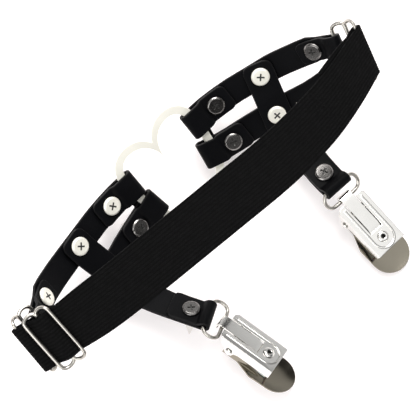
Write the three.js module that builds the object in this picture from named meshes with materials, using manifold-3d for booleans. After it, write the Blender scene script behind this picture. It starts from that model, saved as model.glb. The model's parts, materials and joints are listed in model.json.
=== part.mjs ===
// A spiked thigh harness lying on its studded front: two forked leather halves looped on a heart
// ring, two drop straps with suspender clips, and a flat elastic that closes the loop through two
// end slides and an adjusting slider. Millimetres, +Z up, the table at z = 0, +X along the elastic.

import * as THREE from 'three';
import Module from 'manifold-3d';
import { mergeVertices } from 'three/addons/utils/BufferGeometryUtils.js';

const wasm = await Module();
wasm.setup();

// Driving dimensions

const GAP = 0.3;
const LEATHER = 1.5;
const LAP = LEATHER + GAP;
const STRAP_WIDTH = 13;
const SLIDE_STRAP = 10.6;
const DROP_WIDTH = 14;
const STEP = 5.2;
const WEBBING = { width: 25, narrow: 23.6, thickness: 1.2, sewn: 31, shift: 2.2, step: 9 };
const WIRE = 0.9;
const HEART = { thickness: 1.6, notch: 8.2, steps: 6 };
const SCREW = { head: 4.25, rim: 3.6, thickness: 1.2, shaft: 1.4, recess: 0.7, slot: 0.9, reach: 2.2 };
const SPIKE = { base: 4, foot: 0.8, height: 14, tip: 0.5, bore: 5, sides: 10 };
const FLAP = { heart: 22.6, slide: 21, clip: 18.5 };
const SETTLE = { heart: [7.5, 10.4], slide: [2.4, 8], clip: [0, 3.9] };
const STUD = { heart: 14.6, slide: 13.2, clip: 8.3 };
const BRIDGE = { width: 4, from: 3.2, overlap: 2, thinner: 0.04 };
const ADJUSTER = { x: -91.8, level: 0.9, reach: 10.4, low: 0.5 };
const CLIP = {
    width: 16, start: 2, end: 30.6, corner: 1.4, sheet: 0.8, level: 2.1, skirt: 5, lip: 3,
    ear: 4.6, pinY: 9.2, pinZ: -3.8, pin: 1, pinHead: 1.7, pinCap: 0.6,
    slot: 3.6, slotEnd: 20, tongue: 6.4, strip: 0.7, loose: 0.85, strap: 27.4, eyeletY: 24.3, eyelet: 1.5,
    bead: 0.45, beadOut: 5.8, beadIn: 5, beadFrom: 4, padFrom: 21.6, padTo: 29.4, padWidth: 11.2,
    padTop: -0.7, leverZ: -7.8, leverWidth: 19.6, leverEnd: 42, cheek: 6.8, cheekTo: 27,
};

// Where the middle of the base lies, in the coordinates of the tables below

const BASE = { x: -2.5, y: -23.5, z: 0.8 };

// Outlines that mirror across: slides and rings by a quarter of their wire's centre line, the heart
// by the curves of its right half, from the notch to the point

const SLIDE = {
    pitch: 6.35,
    drop: 2.2,
    quarter: [[0, 13.3], [0.7, 13.7], [1.8, 14.3], [3.4, 14.6], [5, 14.2], [6, 13.2], [6.35, 11.9], [6.35, 0]],
};
const RING = {
    height: 8.4,
    quarter: [[0, 4.2], [6.6, 4.2], [8.1, 3.8], [9.3, 2.6], [9.8, 1.2], [9.9, 0]],
};
const HEART_OUTSIDE = [
    { x0: 0, y0: 0, x1: 2.6, y1: 5, x2: 7, y2: 7.3, x3: 12, y3: 7.3 },
    { x0: 12, y0: 7.3, x1: 18.6, y1: 7.3, x2: 23.4, y2: 2.4, x3: 23.4, y3: -5 },
    { x0: 23.4, y0: -5, x1: 23.4, y1: -12.4, x2: 22.5, y2: -20.6, x3: 20.2, y3: -28.6 },
    { x0: 20.2, y0: -28.6, x1: 18, y1: -36, x2: 8, y2: -43, x3: 0, y3: -49 },
];
const HEART_INSIDE = [
    { x0: 0, y0: -9, x1: 0.6, y1: -1.6, x2: 5.2, y2: 3.3, x3: 12, y3: 3.3 },
    { x0: 12, y0: 3.3, x1: 16.4, y1: 3.3, x2: 19.4, y2: -0.4, x3: 19.4, y3: -5 },
    { x0: 19.4, y0: -5, x1: 19.4, y1: -12, x2: 18.6, y2: -20, x3: 16.3, y3: -27.6 },
    { x0: 16.3, y0: -27.6, x1: 14.4, y1: -34, x2: 6.4, y2: -39.6, x3: 0, y3: -44.2 },
];

// Where each strap's centre line runs: lean is how far its lower edge dips, in degrees, and swing
// how far that edge turns to the left or right of straight down the thigh

const UPPER_LEFT = [
    { x: -19.2, y: 28.2, z: 20.9, lean: 31, swing: 0 },
    { x: -26.5, y: 27.9, z: 20.9, lean: 31, swing: 0 },
    { x: -33, y: 27.3, z: 21.8, lean: 30, swing: 0 },
    { x: -43, y: 25.7, z: 23.4, lean: 29, swing: 0 },
    { x: -50, y: 24.1, z: 24.9, lean: 28, swing: 0 },
    { x: -57, y: 22.5, z: 26.5, lean: 28, swing: 0 },
    { x: -64, y: 20.9, z: 28.1, lean: 28, swing: 0 },
    { x: -74, y: 18, z: 33.2, lean: 26, swing: 0 },
    { x: -83.4, y: 14, z: 41, lean: 24, swing: 0 },
    { x: -92.5, y: 6.6, z: 50.6, lean: 21, swing: -2 },
];
const UPPER_RIGHT = [
    { x: 18.8, y: 30, z: 21.1, lean: 31, swing: 0 },
    { x: 25.8, y: 30.3, z: 21.1, lean: 31, swing: 0 },
    { x: 32, y: 29.9, z: 21.9, lean: 30, swing: 0 },
    { x: 43, y: 28.4, z: 23.6, lean: 29, swing: 0 },
    { x: 50, y: 26.8, z: 25, lean: 28, swing: 0 },
    { x: 57, y: 25.2, z: 26.7, lean: 28, swing: 0 },
    { x: 64, y: 23.6, z: 28.4, lean: 28, swing: 0 },
    { x: 73, y: 20, z: 32.4, lean: 28, swing: -5 },
    { x: 82, y: 15.4, z: 38.4, lean: 26, swing: -10 },
    { x: 89.6, y: 8.6, z: 45.6, lean: 22, swing: -16 },
];
const LOWER_LEFT = [
    { x: -16.5, y: 16.1, z: 13.65, lean: 31, swing: 10 },
    { x: -23.5, y: 14.2, z: 12.7, lean: 31, swing: 5 },
    { x: -30, y: 12.4, z: 13.7, lean: 30, swing: 0 },
    { x: -40, y: 9.4, z: 14.8, lean: 28, swing: 0 },
    { x: -47, y: 6.9, z: 16, lean: 28, swing: 0 },
    { x: -54, y: 4.4, z: 17.6, lean: 28, swing: 0 },
    { x: -61, y: 1.9, z: 19.2, lean: 28, swing: 0 },
];
const LOWER_RIGHT = [
    { x: 15.4, y: 16.7, z: 13.15, lean: 31, swing: -10 },
    { x: 21.5, y: 15.1, z: 11.95, lean: 31, swing: -5 },
    { x: 28, y: 13.4, z: 13.3, lean: 30, swing: 0 },
    { x: 38, y: 11.4, z: 14.9, lean: 28, swing: 0 },
    { x: 45, y: 9.9, z: 16.2, lean: 28, swing: 0 },
    { x: 52, y: 8.2, z: 17.9, lean: 28, swing: 0 },
    { x: 59, y: 6.5, z: 19.6, lean: 28, swing: 0 },
    { x: 69.5, y: 3.1, z: 23.8, lean: 27, swing: 0 },
    { x: 78, y: 1.2, z: 29, lean: 26, swing: -5 },
    { x: 85.4, y: -0.6, z: 35, lean: 25, swing: -10 },
];
const DROP_LEFT = [
    { x: -50.6, y: -8, z: 14.9, lean: -18, swing: -76 },
    { x: -45.8, y: -19, z: 12.8, lean: -26, swing: -67 },
    { x: -40.7, y: -29.4, z: 13.1, lean: -33, swing: -63 },
    { x: -37.2, y: -36, z: 14.2, lean: -33, swing: -61 },
    { x: -34.8, y: -40.4, z: 15.5, lean: -31, swing: -60 },
];
const DROP_RIGHT = [
    { x: 50.4, y: -5, z: 15.5, lean: 3, swing: -95 },
    { x: 49.4, y: -18, z: 14.3, lean: -4, swing: -94 },
    { x: 48.6, y: -29, z: 15.9, lean: -10, swing: -92 },
    { x: 48.8, y: -35.6, z: 17.3, lean: -10, swing: -90 },
];
const ELASTIC = [
    { x: -84, y: -6.2, z: 63, lean: 20, swing: 0 },
    { x: -60, y: -9, z: 67, lean: 17, swing: 0 },
    { x: -30, y: -11, z: 70.5, lean: 15, swing: 0 },
    { x: 0, y: -12.6, z: 71.7, lean: 14, swing: 0 },
    { x: 28, y: -13.8, z: 70.5, lean: 15, swing: -6 },
    { x: 52, y: -12.6, z: 67, lean: 17, swing: -10 },
    { x: 72, y: -9.4, z: 62.4, lean: 20, swing: -15 },
];

// The sides of the elastic over the two end slides

const LEFT_END = { lean: 21, swing: -2 };
const RIGHT_END = { lean: 22, swing: -16 };

// The X of the studs where each drop strap crosses the front straps, and how it lies there: top is
// its end above the upper stud, edge the half of a strap that it follows, lap its height over one

const CROSS_LEFT = { upper: -57, lower: -54 };
const CROSS_RIGHT = { upper: 57, lower: 52 };
const CROSSING = { top: 6.4, edge: 5.6, lap: 2.05 };

// How the end slides, rings and clips hang: turn is their heading in plan and dip its slope down,
// along is how far a slide sits below its strap, webAlong how far the elastic sits below the slide,
// ringSkew and skew are how far the ring and then the clip twist aside in their loops, slip is how
// far the ring sits to the left in the strap's loop

const LEFT_SLIDE = { turn: 180, dip: -35, along: 5.7, webAlong: 0.4 };
const RIGHT_SLIDE = { turn: -16, dip: -48, along: 4.8, webAlong: 0.4 };
const LEFT_CLIP = { ringTurn: -70, ringDip: 16, turn: -77.5, dip: 1.9, ringSkew: 3, skew: 12, slip: -0.4 };
const RIGHT_CLIP = { ringTurn: -88, ringDip: 36, turn: -92.5, dip: 5.7, ringSkew: 0, skew: -2, slip: -0.7 };

// Finishes

const FINISH = {
    leather: { color: 0x18191d, roughness: 0.55, metalness: 0 },
    elastic: { color: 0x111111, roughness: 0.9, metalness: 0 },
    nickel: { color: 0xd8d8d4, roughness: 0.2, metalness: 1 },
    lever: { color: 0xb9b4a4, roughness: 0.25, metalness: 1 },
    pad: { color: 0xd9d9d6, roughness: 0.6, metalness: 0 },
};

// Solids

function plain(geometry) {
    const bare = geometry.index ? geometry.toNonIndexed() : geometry.clone();
    bare.deleteAttribute('normal');
    bare.deleteAttribute('uv');
    return mergeVertices(bare, 1e-4);
}

function solid(geometry) {
    const merged = plain(geometry);
    return new wasm.Manifold(new wasm.Mesh({
        numProp: 3,
        vertProperties: Float32Array.from(merged.attributes.position.array),
        triVerts: Uint32Array.from(merged.index.array),
    }));
}

function shell(body) {
    const mesh = body.getMesh();
    const geometry = new THREE.BufferGeometry();
    geometry.setAttribute('position', new THREE.BufferAttribute(mesh.vertProperties, 3));
    geometry.setIndex(new THREE.BufferAttribute(mesh.triVerts, 1));
    return geometry;
}

function add(first, ...others) {
    return shell(others.reduce((body, other) => body.add(solid(other)), solid(first)));
}

function cut(first, ...others) {
    return shell(others.reduce((body, other) => body.subtract(solid(other)), solid(first)));
}

function piece(name, geometry, finish) {
    const mesh = new THREE.Mesh(plain(geometry), new THREE.MeshStandardMaterial(FINISH[finish]));
    mesh.name = name;
    return mesh;
}

function profile(points) {
    return new THREE.Shape(points.map(([x, y]) => new THREE.Vector2(x, y)));
}

function lathe(points, sides) {
    return new THREE.LatheGeometry(points.map(([x, y]) => new THREE.Vector2(x, y)), sides);
}

function slab(shape, thickness, curveSegments = 8) {
    return new THREE.ExtrudeGeometry(shape, { depth: thickness, bevelEnabled: false, curveSegments });
}

// Frames: a place with its run, its side and its face, which points to the inside of the loop

function frame(at, run, side) {
    const across = side.clone().normalize();
    const along = run.clone().addScaledVector(across, -run.dot(across)).normalize();
    return { at: at.clone(), run: along, side: across, up: across.clone().cross(along) };
}

function lift(base, up, along = 0, side = 0) {
    const at = base.at.clone().addScaledVector(base.up, up);
    at.addScaledVector(base.run, along).addScaledVector(base.side, side);
    return { ...base, at };
}

// Moves a geometry into a frame: its X to the side, its Y along the run, its Z to the face

function into(base, geometry) {
    const axes = new THREE.Matrix4().makeBasis(base.side, base.run, base.up);
    return geometry.clone().applyMatrix4(axes.setPosition(base.at));
}

function direction(turn, dip) {
    const a = THREE.MathUtils.degToRad(turn);
    const b = THREE.MathUtils.degToRad(dip);
    return new THREE.Vector3(Math.cos(a) * Math.cos(b), Math.sin(a) * Math.cos(b), -Math.sin(b));
}

// A strap's route: a smooth line through stations of { at, side }

function stations(rows) {
    return rows.map((row) => ({
        at: new THREE.Vector3(row.x, row.y, row.z),
        side: direction(row.swing - 90, row.lean),
    }));
}

class Route {
    constructor(stops) {
        this.line = new THREE.CatmullRomCurve3(stops.map(({ at }) => at), false, 'catmullrom', 0.5);
        this.sides = new THREE.CatmullRomCurve3(stops.map(({ side }) => side), false, 'catmullrom', 0.5);
        this.line.arcLengthDivisions = 400;
        this.length = this.line.getLength();
    }

    at(distance) {
        const t = this.line.getUtoTmapping(THREE.MathUtils.clamp(distance / this.length, 0, 1));
        const base = frame(this.line.getPoint(t), this.line.getTangent(t), this.sides.getPoint(t));
        return base.up.z < 0 ? frame(base.at, base.run, base.side.clone().negate()) : base;
    }

    between(from, to, step) {
        const count = Math.max(1, Math.round(Math.abs(to - from) / step));
        return Array.from({ length: count + 1 }, (_, i) => this.at(from + (to - from) * i / count));
    }

    nearest(x) {
        const steps = Array.from({ length: 1000 }, (_, i) => this.length * i / 999);
        const off = (s) => Math.abs(this.at(s).at.x - x);
        return steps.reduce((best, s) => (off(s) < off(best) ? s : best));
    }
}

// A flat band through stations of { at, side, width }: a box bent along them

function band(stops, thickness) {
    const last = stops.length - 1;
    const box = new THREE.BoxGeometry(last, 1, 1, last, 1, 1);
    const spots = stops.map((station, i) => {
        const before = stops[Math.max(0, i - 1)].at;
        const after = stops[Math.min(last, i + 1)].at;
        return { ...frame(station.at, after.clone().sub(before), station.side), width: station.width };
    });
    const position = box.attributes.position;
    for (let i = 0; i < position.count; i++) {
        const spot = spots[Math.round(position.getX(i) + last / 2)];
        const point = spot.at.clone()
            .addScaledVector(spot.side, -position.getY(i) * spot.width)
            .addScaledVector(spot.up, position.getZ(i) * thickness);
        position.setXYZ(i, point.x, point.y, point.z);
    }
    return box;
}

function widen(frames, width) {
    return frames.map((base) => ({ ...base, width }));
}

// Rounds the corners at the first station of a band

function roundTip(stops, radius) {
    const start = stops[0].at;
    return stops.map((station) => {
        const inset = Math.max(0, radius - station.at.distanceTo(start));
        const trim = radius - Math.sqrt(radius * radius - inset * inset);
        return { ...station, width: station.width - 2 * trim };
    });
}

// Half a turn round a bar between two layers that stand rise apart, out of the base's end

function halfTurn(base, rise, outward) {
    return [1, 2, 3, 4, 5].map((i) => {
        const angle = Math.PI * i / 6;
        return lift(base, rise / 2 * (1 - Math.cos(angle)), outward * Math.abs(rise) / 2 * Math.sin(angle));
    });
}

// A strap's end turned back over a bar, from the bar to the flap's rounded tip: the layers stand
// rise apart at the bar and close up over the given stretch

function turnBack(route, end, flap, rise, [open, closed], width) {
    const inward = end === 0 ? 1 : -1;
    const step = (closed - open) / 4;
    const closing = [0, 1, 2, 3, 4].map((i) => open + i * step);
    const away = [0, ...closing, (closed + flap) / 2, flap - 2.6, flap - 1, flap - 0.2, flap];
    const laps = away.map((distance) => {
        const settle = THREE.MathUtils.smoothstep(distance, open, closed);
        return lift(route.at(end + inward * distance), rise + (LAP - rise) * settle);
    });
    const bend = widen(halfTurn(route.at(end), rise, -inward), width);
    return [...bend, ...roundTip(widen(laps.reverse(), width), 2.6).reverse()];
}

// Studs: a screw from the inside and a spike on the outside, a strap's two layers between them

function screw() {
    const { head, rim, thickness, shaft, recess, slot, reach } = SCREW;
    const foot = 2 * LAP + SPIKE.bore - shaft;
    const body = lathe([
        [0, -foot], [shaft, -foot], [shaft, 0], [head, 0], [head, thickness / 2], [rim, thickness],
        [0, thickness],
    ], 12).rotateX(Math.PI / 2);
    const arm = new THREE.BoxGeometry(2 * reach, slot, 2 * recess).translate(0, 0, thickness);
    return cut(body, arm, arm.clone().rotateZ(Math.PI / 2));
}

function spike() {
    const { base, foot, height, tip, bore, sides } = SPIKE;
    const inner = SCREW.shaft + GAP;
    return lathe([
        [0, -height], [tip, tip - height], [base, -foot], [base, 0], [inner, 0], [inner, -bore],
        [0, -bore],
    ], sides).rotateX(Math.PI / 2);
}

function stud(name, base) {
    const inside = lift(base, LEATHER / 2 + LAP + GAP);
    const outside = lift(base, -LEATHER / 2 - GAP);
    return [
        piece(`${name}_screw`, into(inside, screw()), 'nickel'),
        piece(`${name}_spike`, into(outside, spike()), 'nickel'),
    ];
}

function shaftHole(base) {
    const radius = SCREW.shaft + GAP;
    const drill = new THREE.CylinderGeometry(radius, radius, 8 * LEATHER, 8).rotateX(Math.PI / 2);
    return into(base, drill);
}

// Half of the leather front: an upper and a lower strap cut from one piece

function frontHalf(upper, lower, holes) {
    const heartRise = HEART.thickness + GAP + LAP;
    const slideRise = 2 * WIRE + GAP + LAP;
    const upperRun = upper.between(0, upper.length, STEP);
    const upperBand = band([
        ...turnBack(upper, 0, FLAP.heart, heartRise, SETTLE.heart, STRAP_WIDTH).reverse(),
        ...widen(upperRun.slice(0, -3), STRAP_WIDTH),
        ...widen(upperRun.slice(-3), SLIDE_STRAP),
        ...turnBack(upper, upper.length, FLAP.slide, slideRise, SETTLE.slide, SLIDE_STRAP),
    ], LEATHER);
    const tail = roundTip(widen(lower.between(lower.length, 0, STEP), STRAP_WIDTH), 2);
    const lowerBand = band([
        ...turnBack(lower, 0, FLAP.heart, heartRise, SETTLE.heart, STRAP_WIDTH).reverse(),
        ...tail.reverse(),
    ], LEATHER);
    return cut(add(upperBand, lowerBand, bridge(upper, lower)), ...holes.map(shaftHole));
}

// The web of leather that joins the two straps just behind their heart loops

function bridge(upper, lower) {
    const stops = [0, 1, 2].map((i) => {
        const from = upper.at(BRIDGE.from + BRIDGE.width * i / 2);
        const to = lower.at(BRIDGE.from + BRIDGE.width * i / 2 + 1);
        const side = to.at.clone().sub(from.at);
        const at = from.at.clone().add(to.at).multiplyScalar(0.5);
        return { at, side, width: side.length() - STRAP_WIDTH + BRIDGE.overlap };
    });
    return band(stops, LEATHER - BRIDGE.thinner);
}

// A drop strap's route: over both crossings in their planes, then down to the clip

function dropRoute(upperStud, lowerStud, rows) {
    const heading = lowerStud.at.clone().sub(upperStud.at);
    const over = (base, down) => {
        const toward = heading.clone().projectOnPlane(base.up);
        toward.divideScalar(Math.abs(toward.dot(base.side)));
        const at = lift(base, CROSSING.lap).at.addScaledVector(toward, down);
        return { at, side: toward.clone().cross(base.up).normalize() };
    };
    return new Route([
        over(upperStud, -CROSSING.top), over(upperStud, 0), over(upperStud, CROSSING.edge),
        over(lowerStud, -CROSSING.edge), over(lowerStud, 0), over(lowerStud, CROSSING.edge),
        ...stations(rows),
    ]);
}

// A drop strap laid over both front straps, its lower end looped on the clip's ring

function dropStrap(route, holes) {
    const rise = 2 * WIRE + 2 * GAP + LAP;
    const top = roundTip(widen([0, 0.4, 1.2, 2.4, 4, 8].map((s) => route.at(s)), DROP_WIDTH), 3.6);
    const strap = band([
        ...top,
        ...widen(route.between(11, route.length, STEP), DROP_WIDTH),
        ...turnBack(route, route.length, FLAP.clip, rise, SETTLE.clip, DROP_WIDTH),
    ], LEATHER);
    return cut(strap, ...holes.map(shaftHole));
}

// The heart: a flat strip in the shape of a heart, rounded notch up

function heartOutline(rows) {
    const half = rows.flatMap(({ x0, y0, x1, y1, x2, y2, x3, y3 }) => {
        const at = ([x, y]) => new THREE.Vector2(x, y);
        const curve = new THREE.CubicBezierCurve(at([x0, y0]), at([x1, y1]), at([x2, y2]), at([x3, y3]));
        return curve.getPoints(HEART.steps).slice(0, -1);
    });
    const { x3, y3 } = rows[rows.length - 1];
    const back = half.slice(1).reverse().map((point) => new THREE.Vector2(-point.x, point.y));
    return [...half, new THREE.Vector2(x3, y3), ...back].reverse();
}

function heartRing() {
    const outline = new THREE.Shape(heartOutline(HEART_OUTSIDE));
    outline.holes.push(new THREE.Path(heartOutline(HEART_INSIDE)));
    return slab(outline, HEART.thickness).translate(0, 0, -HEART.thickness / 2);
}

// Wire bent to a closed flat outline

function wireLoop(points) {
    const sides = 6;
    const count = points.length;
    const position = [];
    const index = [];
    points.forEach(([x, y], i) => {
        const [px, py] = points[(i + count - 1) % count];
        const [nx, ny] = points[(i + 1) % count];
        const out = new THREE.Vector2(ny - py, px - nx).normalize();
        for (let j = 0; j < sides; j++) {
            const angle = 2 * Math.PI * (j + 0.5) / sides;
            const reach = WIRE * Math.cos(angle);
            position.push(x + out.x * reach, y + out.y * reach, WIRE * Math.sin(angle));
        }
    });
    for (let i = 0; i < count; i++) {
        const near = i * sides;
        const far = ((i + 1) % count) * sides;
        for (let j = 0; j < sides; j++) {
            const k = (j + 1) % sides;
            index.push(near + j, far + j, near + k, near + k, far + j, far + k);
        }
    }
    const loop = new THREE.BufferGeometry();
    loop.setAttribute('position', new THREE.Float32BufferAttribute(position, 3));
    loop.setIndex(index);
    return loop;
}

// The closed outline that a quarter of it makes, mirrored both ways, anticlockwise

function mirrored(quarter) {
    const half = [...quarter, ...quarter.slice(0, -1).reverse().map(([x, y]) => [x, -y])];
    return [...half, ...half.slice(1, -1).reverse().map(([x, y]) => [-x, y])].reverse();
}

function slide() {
    const outline = mirrored(SLIDE.quarter);
    const bar = new THREE.CylinderGeometry(WIRE, WIRE, 2 * SLIDE.quarter[0][1], 6, 1);
    const both = add(wireLoop(outline), bar);
    const position = both.attributes.position;
    for (let i = 0; i < position.count; i++) {
        const share = Math.min(1, Math.abs(position.getX(i)) / SLIDE.pitch);
        position.setZ(i, position.getZ(i) - SLIDE.drop * Math.cos(share * Math.PI / 2));
    }
    return both.rotateZ(Math.PI / 2);
}

function clipRing() {
    return wireLoop(mirrored(RING.quarter));
}

// The frame of a slide whose near bar lies in a strap's end loop, its far bar away from the strap

function endSlide(upper, hang) {
    const end = upper.at(upper.length);
    const lower = end.side.y < 0 ? 1 : -1;
    const bar = lift(end, WIRE + GAP + LEATHER / 2, 0, lower * hang.along);
    const centre = lift(frame(bar.at, direction(hang.turn, hang.dip), end.side), 0, SLIDE.pitch);
    return { centre, farBar: lift(centre, 0, SLIDE.pitch, lower * hang.webAlong) };
}

// The elastic's route: it clears each far bar by a bend's radius

function webRadius() {
    return WIRE + GAP + WEBBING.thickness / 2;
}

function elasticRoute(leftBar, rightBar) {
    const middle = stations(ELASTIC);
    const over = (bar, toNext, side) => ({ at: lift(frame(bar.at, toNext, side), webRadius()).at, side });
    const first = middle[0].at.clone().sub(leftBar.at);
    const last = rightBar.at.clone().sub(middle[middle.length - 1].at);
    return new Route([
        over(leftBar, first, direction(LEFT_END.swing - 90, LEFT_END.lean)),
        ...middle,
        over(rightBar, last, direction(RIGHT_END.swing - 90, RIGHT_END.lean)),
    ]);
}

// How far the elastic leaves its route to pass under the adjuster's side bars and over its middle

function weave(away) {
    const over = ADJUSTER.level - SLIDE.drop + WIRE + GAP + 1.5 * WEBBING.thickness + GAP;
    const under = ADJUSTER.level - webRadius();
    const { smoothstep } = THREE.MathUtils;
    if (away < SLIDE.pitch) return over + (under - over) * smoothstep(away, 0, SLIDE.pitch);
    return under * (1 - smoothstep(away, SLIDE.pitch, ADJUSTER.reach));
}

function elasticBand(route, adjusterAt) {
    const rise = 2 * webRadius();
    const centre = ADJUSTER.level - SLIDE.drop;
    const hook = [6, 5, 4, 3, 2, 1].map((i) => {
        const angle = Math.PI * i / 6;
        return lift(route.at(adjusterAt), centre - webRadius() * Math.cos(angle),
            webRadius() * Math.sin(angle));
    });
    const inner = [1, 0.66, 0.33, 0].map((share) => {
        const low = centre - webRadius() + rise;
        return lift(route.at(adjusterAt * share), low * share - rise);
    });
    const fold = halfTurn(route.at(0), -rise, -1).reverse();
    const slow = adjusterAt + ADJUSTER.reach;
    const near = Array.from({ length: 19 }, (_, i) => slow * i / 18)
        .map((s) => lift(route.at(s), weave(Math.abs(s - adjusterAt))));
    const far = route.between(slow, route.length, WEBBING.step).slice(1);
    const turn = halfTurn(route.at(route.length), -rise, 1);
    const sewn = [0, 2, 4, 6, 8, 10, 16, 23, WEBBING.sewn].map((back) => {
        const gap = WEBBING.thickness + GAP;
        const close = THREE.MathUtils.smoothstep(back, 1, 9);
        const aside = -WEBBING.shift * THREE.MathUtils.smoothstep(back, 4, 16);
        return lift(route.at(route.length - back), -rise + (rise - gap) * close, 0, aside);
    });
    const narrow = widen([...hook, ...inner, ...fold, ...near], WEBBING.narrow);
    return band([
        ...narrow,
        ...widen(far.slice(0, -1), WEBBING.width),
        ...widen([...far.slice(-1), ...turn, ...sewn.slice(0, 2)], WEBBING.narrow),
        ...widen(sewn.slice(2), WEBBING.width - 0.8),
    ], WEBBING.thickness);
}

// Clip pieces: X across the clip, Y from the ring's lower bar to the jaw, Z to the inside

// A slab of the given width whose outline is drawn in Y and Z, its middle at x
function upright(points, width, x = 0) {
    return slab(profile(points), width).translate(0, 0, x - width / 2)
        .rotateX(Math.PI / 2).rotateZ(Math.PI / 2);
}

function crossPin(radius, length) {
    return new THREE.CylinderGeometry(radius, radius, length, 12).rotateZ(Math.PI / 2)
        .translate(0, CLIP.pinY, CLIP.pinZ);
}

function eyeletHole() {
    const radius = CLIP.eyelet + GAP;
    return new THREE.CylinderGeometry(radius, radius, 8, 12).rotateX(Math.PI / 2)
        .translate(0, CLIP.eyeletY, CLIP.level);
}

function beadShape() {
    const { beadOut, beadIn, beadFrom, eyeletY } = CLIP;
    const shape = new THREE.Shape();
    shape.moveTo(-beadIn, beadFrom);
    shape.lineTo(-beadIn, eyeletY);
    shape.absarc(0, eyeletY, beadIn, Math.PI, 0, true);
    shape.lineTo(beadIn, beadFrom);
    shape.lineTo(beadOut, beadFrom);
    shape.lineTo(beadOut, eyeletY);
    shape.absarc(0, eyeletY, beadOut, 0, Math.PI, false);
    shape.lineTo(-beadOut, beadFrom);
    return shape;
}

function clipBody() {
    const { width, start, end, corner, sheet, level, skirt, lip, ear, pinY, pinZ } = CLIP;
    const half = width / 2;
    const outline = profile([
        [-half, start + corner], [-half + corner, start], [half - corner, start], [half, start + corner],
        [half, end], [-half, end],
    ]);
    const flange = [
        [start + corner, level], [start + corner, -1], [pinY - 3.2, -2.6], [pinY - 2.6, pinZ],
        [pinY - 1.9, pinZ - 1.9], [pinY, pinZ - 2.6], [pinY + 1.9, pinZ - 1.9], [pinY + 2.6, pinZ],
        [pinY + ear, level - skirt], [end, level - skirt], [end, level],
    ];
    const front = new THREE.BoxGeometry(width, sheet, lip)
        .translate(0, end - sheet / 2, level - lip / 2);
    const body = add(
        slab(outline, sheet).translate(0, 0, level - sheet / 2),
        upright(flange, sheet, half - sheet / 2),
        upright(flange, sheet, sheet / 2 - half),
        front,
        slab(beadShape(), CLIP.bead + sheet / 2, 6).translate(0, 0, level),
    );
    const slot = new THREE.BoxGeometry(2 * CLIP.slot, CLIP.slotEnd, 3)
        .translate(0, CLIP.slotEnd / 2, level);
    return cut(body, slot, crossPin(CLIP.pin + GAP, 2 * width), eyeletHole());
}

function clipTongue() {
    const { strip, tongue, level, sheet, strap, slotEnd } = CLIP;
    const radius = WIRE + CLIP.loose + strip / 2;
    const low = level - sheet / 2 - GAP - strip / 2;
    const curl = [5, 6, 7, 8, 9, 10].map((eighth) => {
        const angle = Math.PI * eighth / 8;
        return [radius * Math.cos(angle), radius * Math.sin(angle)];
    });
    const line = [[strap, low], [slotEnd - 0.4, low], [slotEnd - 2.4, level], [3, level], ...curl];
    const stops = line.map(([y, z]) => ({
        at: new THREE.Vector3(0, y, z), side: new THREE.Vector3(1, 0, 0), width: tongue,
    }));
    return cut(band(stops, strip), eyeletHole());
}

function clipEyelet() {
    const { eyelet, level, sheet, strip, eyeletY } = CLIP;
    const top = level + sheet / 2 + GAP;
    const foot = level - sheet / 2 - GAP - strip - GAP;
    return lathe([
        [1, foot - 0.4], [2.2, foot - 0.4], [2.2, foot], [eyelet, foot], [eyelet, top], [2.6, top],
        [2.3, top + 0.5], [1.4, top + 0.7], [1, top + 0.4], [1, foot - 0.4],
    ], 12).rotateX(Math.PI / 2).translate(0, eyeletY, 0);
}

function clipPad() {
    const { padFrom, padTo, padWidth, padTop, leverZ, sheet } = CLIP;
    const foot = leverZ + sheet / 2 + GAP;
    return upright([
        [padFrom, foot + 0.6], [padFrom + 0.6, foot], [padTo - 0.6, foot], [padTo, foot + 0.6],
        [padTo, padTop], [padFrom, padTop],
    ], padWidth);
}

function clipLever() {
    const { sheet, pinY, pinZ, leverZ, leverWidth, leverEnd, cheek, cheekTo } = CLIP;
    const half = leverWidth / 2;
    const shape = new THREE.Shape();
    shape.moveTo(-cheek, pinY - 2.4);
    shape.lineTo(cheek, pinY - 2.4);
    shape.lineTo(cheek, 15);
    shape.lineTo(half, 23);
    shape.lineTo(half, leverEnd - half);
    shape.absarc(0, leverEnd - half, half, 0, Math.PI, false);
    shape.lineTo(-half, 23);
    shape.lineTo(-cheek, 15);
    const side = [
        [pinY - 2.4, leverZ], [cheekTo, leverZ], [cheekTo, leverZ + 0.8], [pinY + 4, pinZ + 0.8],
        [pinY + 1.7, pinZ + 1.9], [pinY, pinZ + 2.4], [pinY - 1.7, pinZ + 1.9], [pinY - 2.4, pinZ],
    ];
    const lever = add(
        slab(shape, sheet, 9).translate(0, 0, leverZ - sheet / 2),
        upright(side, sheet, cheek - sheet / 2),
        upright(side, sheet, sheet / 2 - cheek),
    );
    return cut(lever, crossPin(CLIP.pin + GAP, 2 * leverWidth));
}

function clipPin() {
    const { width, pin, pinHead, pinCap, pinY, pinZ } = CLIP;
    const inner = width / 2 + GAP;
    const outer = inner + pinCap;
    return lathe([
        [0, -outer], [pinHead, -outer], [pinHead, -inner], [pin, -inner], [pin, inner],
        [pinHead, inner], [pinHead, outer], [0, outer],
    ], 12).rotateZ(-Math.PI / 2).translate(0, pinY, pinZ);
}

function skewed(base, degrees) {
    return base.side.clone().applyAxisAngle(base.up, -THREE.MathUtils.degToRad(degrees));
}

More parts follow.
